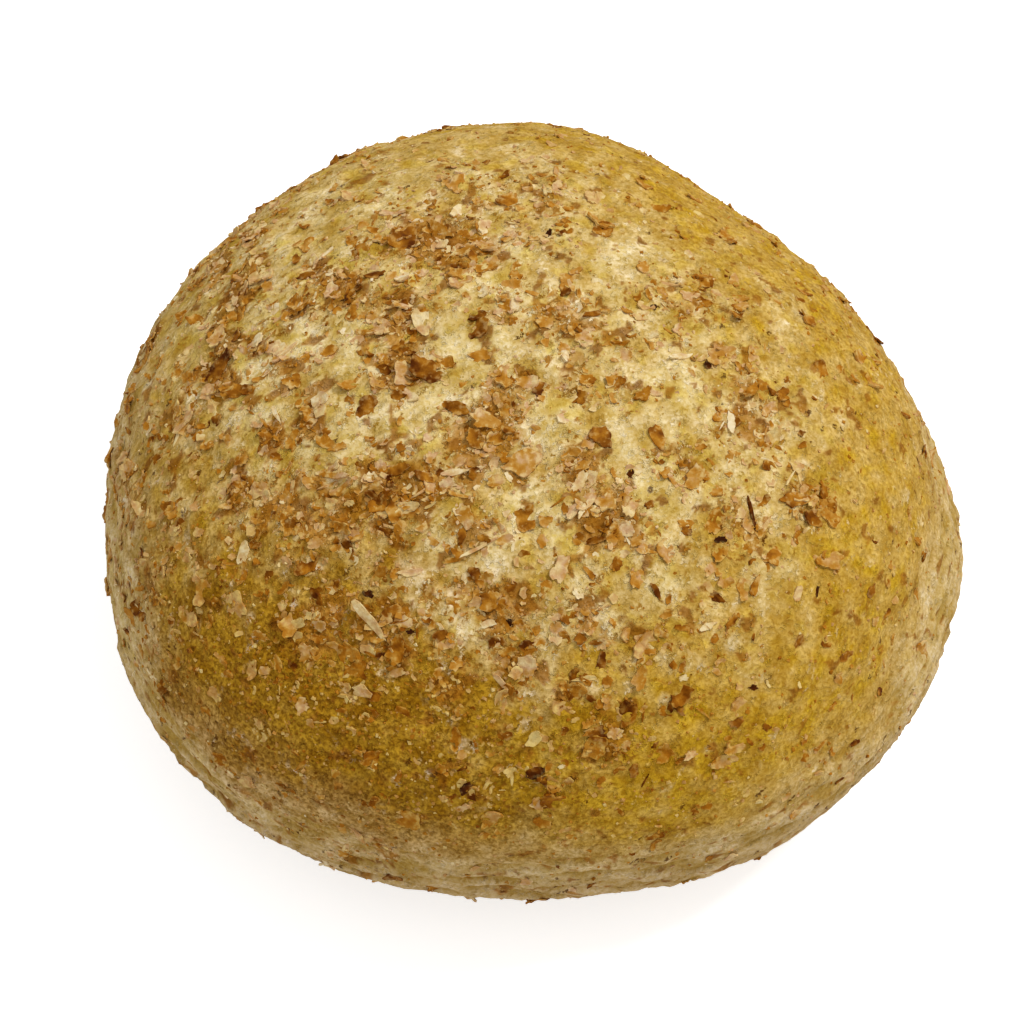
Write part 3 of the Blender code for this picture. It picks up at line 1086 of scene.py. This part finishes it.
PLACED_BRAN = [Bit(*row) for row in (
    (219, 372, 5.2, 2.2, 62, RED_BROWN), (293, 382, 2.6, 2.2, 10, ORANGE),
    (286, 351, 3.2, 0.7, 35, STRAW), (329, 353, 2.4, 1.5, 15, ORANGE),
    (321, 399, 3.2, 2.0, 20, STRAW), (339, 477, 4.6, 1.1, -5, TAN),
    (243, 555, 3.2, 1.4, 68, WHITE), (289, 525, 2.4, 1.8, 30, RUSTY),
    (340, 524, 2.4, 1.8, -20, ORANGE), (307, 653, 2.4, 2.0, 80, TAN),
    (321, 625, 2.2, 1.4, 10, PINK), (260, 635, 1.8, 1.2, -30, TAN), (266, 670, 1.8, 1.2, 20, TAN),
    (403, 241, 4.6, 2.8, 20, BROWN), (440, 232, 4.0, 2.4, -15, ORANGE),
    (465, 252, 3.4, 2.0, 25, TAN), (425, 371, 4.0, 3.0, -30, BROWN),
    (481, 356, 2.6, 2.0, 15, ORANGE), (367, 407, 2.8, 2.4, 40, BROWN),
    (456, 408, 4.2, 1.6, -26, RUSTY), (484, 420, 4.4, 2.2, -20, TAN),
    (507, 431, 2.4, 1.5, -35, RUSTY), (475, 442, 3.2, 2.4, -50, RUSTY),
    (495, 440, 2.0, 1.4, 15, ORANGE), (523, 463, 4.8, 3.2, -12, TAN),
    (508, 477, 1.3, 0.8, -50, WHITE), (456, 472, 3.2, 0.9, 6, STRAW),
    (448, 484, 2.4, 1.6, -10, STRAW), (400, 470, 3.0, 1.6, 12, RUSTY),
    (425, 478, 2.6, 1.4, -20, BROWN), (393, 512, 3.0, 2.1, 112, RUSTY),
    (399, 533, 1.8, 1.3, 70, ORANGE), (466, 516, 3.4, 1.9, 100, TAN),
    (462, 535, 2.2, 1.1, 80, RUSTY), (475, 550, 5.0, 0.5, 28, STRAW),
    (412, 572, 3.4, 1.0, 8, STRAW), (371, 620, 6.6, 1.3, -54, STRAW),
    (367, 594, 1.2, 0.9, -20, CHAR_AND_PIT_SHADE), (380, 656, 1.3, 0.9, 30, CHAR_AND_PIT_SHADE),
    (404, 622, 2.6, 1.3, -8, PINK), (411, 632, 1.0, 0.6, 10, CHAR_AND_PIT_SHADE),
    (390, 612, 2.4, 1.5, 30, RUSTY), (400, 672, 2.2, 1.2, 0, TAN),
    (361, 692, 2.6, 1.4, -22, PINK), (490, 600, 2.8, 2.4, 30, RUSTY),
    (489, 624, 2.6, 0.9, 6, WHITE), (510, 625, 1.4, 1.1, 90, CHAR_AND_PIT_SHADE),
    (493, 642, 2.0, 1.4, 70, BROWN), (527, 646, 1.8, 1.2, 20, BROWN),
    (501, 680, 2.4, 0.8, -52, PINK), (528, 666, 2.8, 2.3, 80, PINK),
    (539, 643, 1.6, 1.1, 40, TAN), (456, 664, 1.8, 1.4, 20, ORANGE),
    (602, 438, 2.6, 2.2, -20, BROWN), (658, 438, 3.4, 1.9, 115, RUSTY),
    (572, 452, 2.2, 1.4, -30, TAN), (582, 466, 2.0, 1.4, 20, TAN), (630, 473, 1.3, 0.8, 80, CHAR_AND_PIT_SHADE),
    (607, 502, 3.4, 2.4, 70, TAN), (584, 508, 2.6, 0.8, 62, STRAW),
    # (596, 541) is the dark under a cluster: a painted shadow, laid as a dark bit
    (623, 527, 2.9, 1.9, -28, PINK), (596, 541, 2.4, 1.0, 10, RED_BROWN),
    (560, 571, 3.4, 2.3, 75, PINK), (590, 574, 2.4, 0.9, -48, RUSTY),
    # (720, 539) is a pit: its shade is painted as a dark bit
    (637, 578, 2.3, 1.8, 60, TAN), (644, 550, 1.7, 1.2, 0, TAN), (720, 539, 1.4, 1.0, 10, CHAR_AND_PIT_SHADE),
    (687, 531, 1.8, 1.2, -20, BROWN), (694, 480, 3.4, 2.2, 60, TAN),
    (752, 516, 5.0, 0.5, -68, RED_BROWN), (711, 569, 2.2, 1.6, 45, TAN),
    (707, 626, 2.2, 0.8, 20, STRAW), (731, 622, 1.8, 1.3, 70, BROWN),
    (643, 268, 2.3, 1.8, 30, TAN), (546, 322, 2.4, 1.8, -20, TAN), (591, 315, 3.0, 0.8, 8, BROWN),
    (525, 382, 2.6, 1.9, 0, TAN), (549, 234, 1.2, 0.9, 60, CHAR_AND_PIT_SHADE), (688, 296, 2.3, 1.5, -10, PINK),
    (654, 307, 1.0, 0.8, 60, CHAR_AND_PIT_SHADE), (708, 366, 1.2, 0.9, 0, CHAR_AND_PIT_SHADE),
    (680, 357, 2.8, 0.9, 12, STRAW), (731, 424, 2.6, 1.0, 100, WHITE),
    (644, 394, 2.2, 1.6, 20, BROWN), (782, 396, 2.3, 1.6, 30, RUSTY),
    (804, 293, 2.0, 1.4, -30, ORANGE), (740, 308, 2.4, 1.6, 20, TAN),
    (795, 500, 4.4, 1.7, 4, RUSTY), (466, 789, 2.3, 1.6, 60, MAROON),
    (535, 773, 2.2, 1.5, 30, MAROON), (595, 733, 2.6, 2.2, 20, BROWN),
    (538, 803, 2.0, 1.5, 0, PINK), (690, 755, 1.9, 1.3, 30, PINK), (302, 706, 2.2, 1.6, 50, PINK),
    (230, 773, 1.8, 1.2, 10, STRAW), (472, 797, 1.5, 0.9, -20, RED_BROWN),
    (463, 808, 1.8, 1.1, 40, PINK), (543, 781, 1.5, 1.0, -40, RED_BROWN),
    (561, 767, 0.9, 0.6, 30, WHITE), (614, 733, 1.9, 1.6, 0, PINK),
    (581, 638, 1.8, 1.2, 60, RED_BROWN), (598, 643, 1.7, 0.7, 10, RED_BROWN),
    (601, 660, 2.0, 1.1, 80, BROWN), (607, 682, 2.4, 1.4, 70, ORANGE),
    (561, 704, 1.2, 0.5, 80, RED_BROWN), (507, 735, 1.5, 1.2, 0, RUSTY),
    (441, 636, 1.7, 1.3, 20, BROWN), (634, 770, 2.6, 1.3, 80, BROWN),
    (648, 652, 1.8, 0.9, -10, RUSTY), (656, 590, 2.2, 0.8, -60, BROWN),
    (668, 600, 1.6, 0.9, 70, RUSTY), (716, 597, 2.2, 1.2, -30, BROWN),
    (755, 588, 2.4, 1.2, 70, RUSTY), (798, 595, 2.2, 1.0, 75, PINK),
    (817, 592, 1.2, 0.5, 80, MAROON), (870, 592, 1.8, 1.2, 60, RED_BROWN),
    (799, 640, 1.7, 0.9, 60, BROWN), (846, 656, 2.0, 1.2, 20, BROWN),
    (681, 668, 1.6, 1.0, 60, BROWN), (683, 678, 1.2, 0.8, 0, STRAW),
    (754, 688, 1.1, 0.8, 0, RED_BROWN), (679, 708, 1.9, 1.2, -60, RED_BROWN),
    (736, 722, 1.8, 1.3, 20, RED_BROWN), (766, 727, 1.2, 0.9, 0, BROWN),
    (832, 707, 1.6, 0.7, 50, RUSTY), (879, 691, 1.5, 1.0, -30, BROWN),
    (655, 745, 1.2, 0.6, 60, MAROON), (854, 743, 1.6, 1.0, 30, BROWN),
    (838, 781, 1.5, 0.5, 35, MAROON), (580, 483, 2.8, 1.8, 60, STRAW),
    # (589, 529) is a glint: a painted highlight, laid as a pale pink bit
    (619, 481, 1.2, 0.9, 30, WHITE), (589, 529, 1.8, 0.9, -15, PINK),
    (541, 540, 1.8, 1.4, -70, TAN), (397, 396, 2.2, 1.4, -30, BROWN),
    (538, 390, 2.4, 1.3, 50, BROWN), (306, 277, 2.6, 1.2, 10, BROWN),
    (344, 277, 1.9, 1.2, -30, PINK), (374, 275, 2.4, 1.4, 15, BROWN),
    (402, 308, 2.4, 2.0, 40, PINK), (367, 333, 2.8, 1.2, -5, TAN),
    (385, 369, 2.0, 1.1, -50, RED_BROWN), (400, 387, 1.6, 1.0, -30, RED_BROWN),
    (337, 447, 2.6, 1.2, 15, ORANGE), (317, 458, 1.2, 0.8, 40, RED_BROWN),
    (401, 448, 1.4, 1.0, 10, BROWN),
)]
PLACED_THICKNESS = 0.26  # millimetres
PLACED_LIFT = 0.12  # millimetres
PLACED_TORN = 0.75  # how ragged the outline of the smallest bits is
PLACED_CURL = 0.05
PLACED_SEAT = 0.7  # how far up the highest lump under it a bit rests
PLACED_REACH = 0.4  # how far out from its middle, as a share of its length, a bit feels for lumps
PLACED_BAKE = 0.5
PLACED_TILT = math.radians(11.0)
FULL_LENGTH = 3.2  # bits shorter than this are thinner, lie lower and are more ragged
FULLNESS_POWER = 1.5
BROAD = 1.5  # bits wider than this have more sides
BROAD_SIDES = 13
NARROW_SIDES = 9
TURN_STEP = 6.0  # pixels along the photo, to find which way a bit points on the crust


def lay_bit(bit, surface, draw):
    """The mesh of one bit, laid where the photo shows it, and the face of the crust under it."""
    place, normal, face = surface.at(bit.x, bit.y)
    turn = math.radians(bit.turn)
    beyond = (bit.x + TURN_STEP * math.cos(turn), bit.y - TURN_STEP * math.sin(turn))
    along = (surface.at(*beyond)[0] - place).normalized()
    across = normal.cross(along).normalized()
    along = across.cross(normal)
    reaches = (-PLACED_REACH, PLACED_REACH)
    offsets = [along * bit.long * MM * share for share in reaches]
    offsets += [across * bit.wide * MM * share for share in reaches]
    fullness = min(1.0, bit.long / FULL_LENGTH) ** FULLNESS_POWER
    seat = surface.stands_out(place, normal, offsets) * PLACED_SEAT
    seat += PLACED_LIFT * fullness * MM
    upright = Matrix((along, across, normal)).transposed().to_4x4()
    tilt = Matrix.Rotation(draw.uniform(-PLACED_TILT, PLACED_TILT), 4, "X")
    sides = BROAD_SIDES if bit.wide > BROAD else NARROW_SIDES
    thick = PLACED_THICKNESS * fullness / bit.long
    torn = PLACED_TORN + (TORN - PLACED_TORN) * fullness
    plate = plate_shape(draw, sides, bit.wide / bit.long, thick, PLACED_CURL, 1, torn)
    mesh = shape_mesh("bit", plate)
    moved = Matrix.Translation(place + normal * seat)
    mesh.transform(moved @ upright @ tilt @ Matrix.Scale(bit.long * MM, 4))
    return mesh, face


def placed_bran(crust, finish, draw):
    """The bits that can be told apart in the photo, each laid on the crust where it shows."""
    corners = [vert.co for vert in crust.data.vertices]
    faces = crust.data.polygons
    surface = Surface(corners, [tuple(face.vertices) for face in faces])
    golden = crust.data.attributes["golden"].data
    joined = bmesh.new()
    marks = {"tone": [], "golden": []}
    for bit in PLACED_BRAN:
        mesh, face = lay_bit(bit, surface, draw)
        bake = PLACED_BAKE * golden[faces[face].vertices[0]].value
        marks["tone"] += [bit.tone] * len(mesh.vertices)
        marks["golden"] += [bake] * len(mesh.vertices)
        joined.from_mesh(mesh)
        bpy.data.meshes.remove(mesh)
    mesh = bpy.data.meshes.new("placed_bran")
    joined.to_mesh(mesh)
    joined.free()
    for name, values in marks.items():
        mesh.attributes.new(name, "FLOAT", "POINT").data.foreach_set("value", values)
    mesh.materials.append(finish)
    return stand("placed_bran", mesh)


# -------- floor and light

FLOOR_SIDE = 60.0
FLOOR_GAP = 0.0001
FLOOR_WHITE = (0.85, 0.85, 0.85, 1.0)
FLOOR_GLOW = 0.62
SKY_LIGHT = 0.70
HORIZON_SHADE = (0.72, 0.72, 0.72, 1.0)
HORIZON_TOP = 0.9  # how far up the sky its shade reaches
PURE_WHITE = (1.0, 1.0, 1.0, 1.0)
KEY_PLACE = Vector((0.515, 0.165, 0.905))
KEY_SIZE = 0.26
KEY_POWER = 5.4


def make_floor():
    """A plain white floor, just under the bun."""
    bpy.ops.mesh.primitive_plane_add(size=FLOOR_SIDE, location=(0.0, 0.0, -FLOOR_GAP))
    floor = bpy.context.object
    floor.name = "floor"
    material, tree, shader = new_material("white_floor", 0.9)
    shader.inputs["Base Color"].default_value = FLOOR_WHITE
    shader.inputs["Emission Color"].default_value = PURE_WHITE
    seen = add(tree, "ShaderNodeLightPath").outputs["Is Camera Ray"]
    tree.links.new(times(tree, seen, FLOOR_GLOW), shader.inputs["Emission Strength"])
    floor.data.materials.append(material)


def make_light():
    """One soft lamp at the right, and a white sky that is a little darker at the horizon."""
    data = bpy.data.lights.new("key", "AREA")
    data.shape = "DISK"
    data.size = KEY_SIZE
    data.energy = KEY_POWER
    key = stand("key", data)
    key.location = KEY_PLACE
    key.rotation_euler = KEY_PLACE.to_track_quat("Z", "Y").to_euler()
    world = bpy.data.worlds.new("studio")
    world.use_nodes = True
    tree = world.node_tree
    sky = tree.nodes["Background"]
    place = add(tree, "ShaderNodeTexCoord").outputs["Generated"]
    up = add(tree, "ShaderNodeSeparateXYZ", {0: place})
    shade = paint(tree, rise(tree, up.outputs[2], 0.0, HORIZON_TOP), HORIZON_SHADE, PURE_WHITE)
    seen = add(tree, "ShaderNodeLightPath").outputs["Is Camera Ray"]
    tree.links.new(paint(tree, seen, shade, PURE_WHITE), sky.inputs["Color"])
    strength = times_plus(tree, seen, 1.0 - SKY_LIGHT, SKY_LIGHT)
    tree.links.new(strength, sky.inputs["Strength"])
    bpy.context.scene.world = world
    bpy.context.scene.view_settings.view_transform = "Standard"


# -------- the pieces

SHAPE_SEED = 7


def main():
    aim_camera()
    groups = (crumb_grain_group(), crumb_bits_group())
    crust = make_crust()
    crust.data.materials.append(crust_material(groups))
    husk = husk_material(groups)
    draw = np.random.default_rng(SHAPE_SEED)
    tree = scatter_tree()
    pieces = [strew(name, tree, crust, husk, draw) for name in STREWN]
    pieces.append(placed_bran(crust, husk, draw))
    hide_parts("bun")
    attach(crust, "root")
    for piece in pieces:
        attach(piece, "root")
    make_floor()
    make_light()


main()
